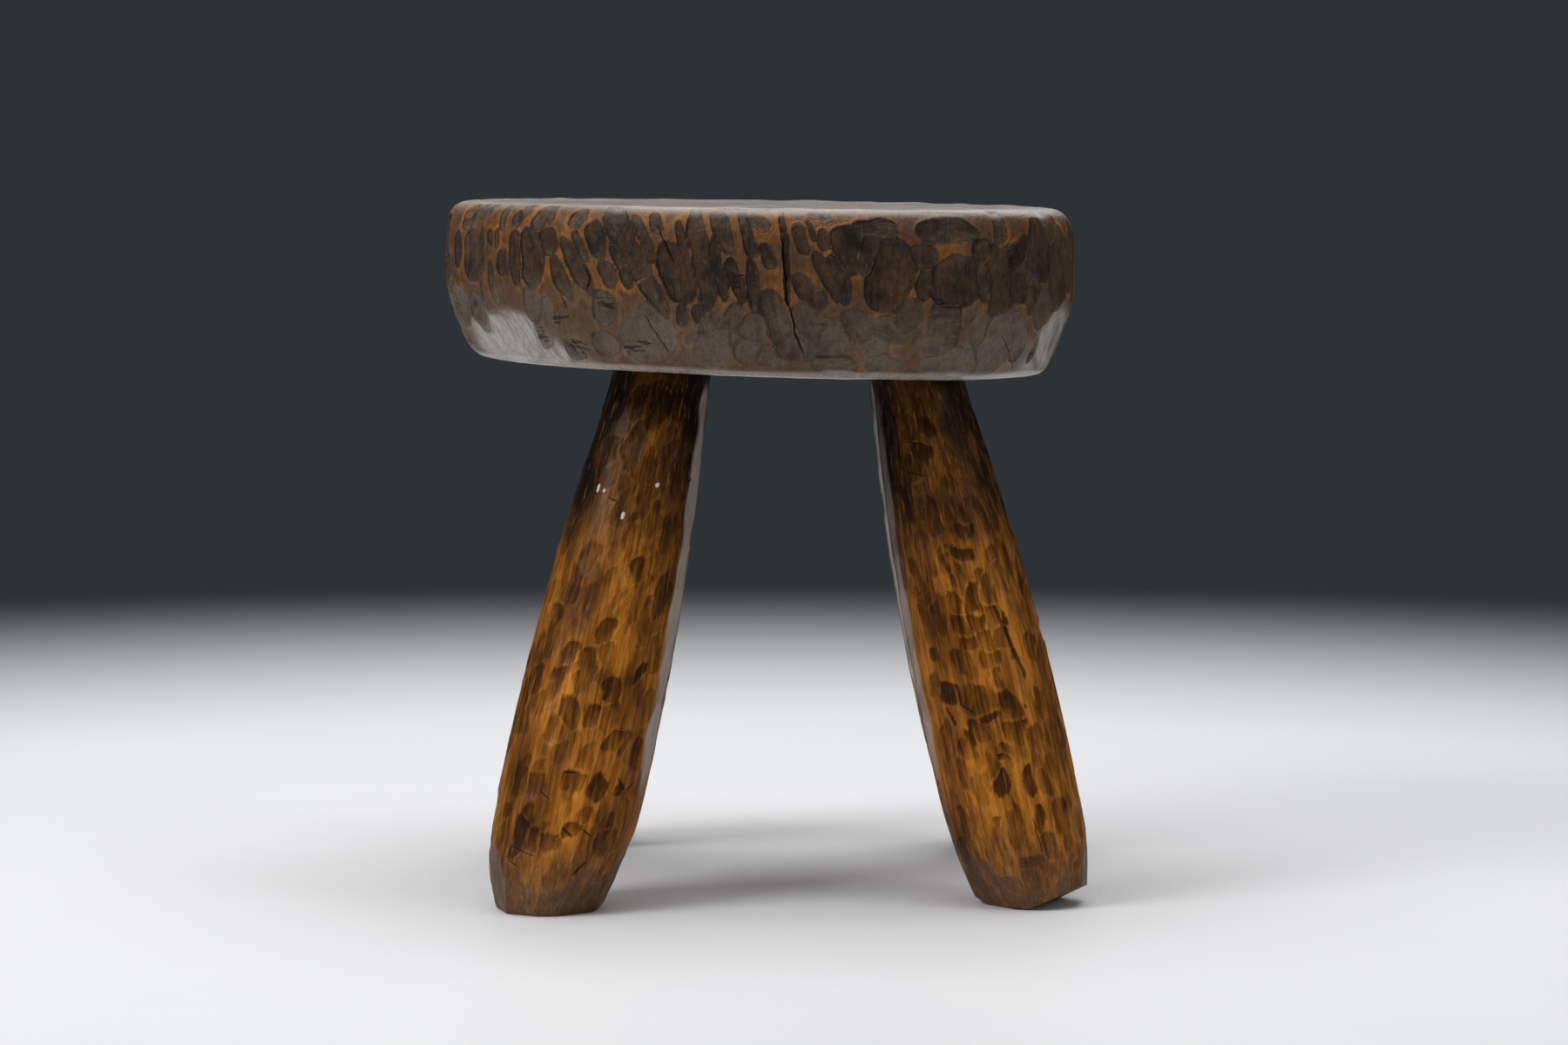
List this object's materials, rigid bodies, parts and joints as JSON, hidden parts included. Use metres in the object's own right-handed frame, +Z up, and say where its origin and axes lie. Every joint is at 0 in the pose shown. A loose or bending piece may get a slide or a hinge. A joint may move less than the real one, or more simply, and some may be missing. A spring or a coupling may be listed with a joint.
{
  "type": "stool",
  "caption": "Low hand-carved wooden stool: thick round slab seat on splayed, club-shaped legs joined by wedged round tenons.",
  "frame": {"origin": "on the floor under the middle of the stool's bounding box", "axes": "+Z up, +X to the right as seen from the front, front towards -Y"},
  "size_m": [0.3585, 0.3442, 0.3822],
  "materials": {
    "seat_wood": "gouge-carved, dark-stained hollows with rubbed ridges, waxed",
    "leg_wood": "gouge-carved, honey ground with dark-stained hollows, waxed",
    "wedge_wood": "plain riven wood"
  },
  "bodies": {
    "root": {"seat": "seat_wood", "leg_front_left": "leg_wood", "leg_front_right": "leg_wood", "leg_rear_left": "leg_wood", "leg_rear_right": "leg_wood", "wedge_front_left": "wedge_wood", "wedge_front_right": "wedge_wood", "wedge_rear_left": "wedge_wood", "wedge_rear_right": "wedge_wood"}
  },
  "joints": []
}
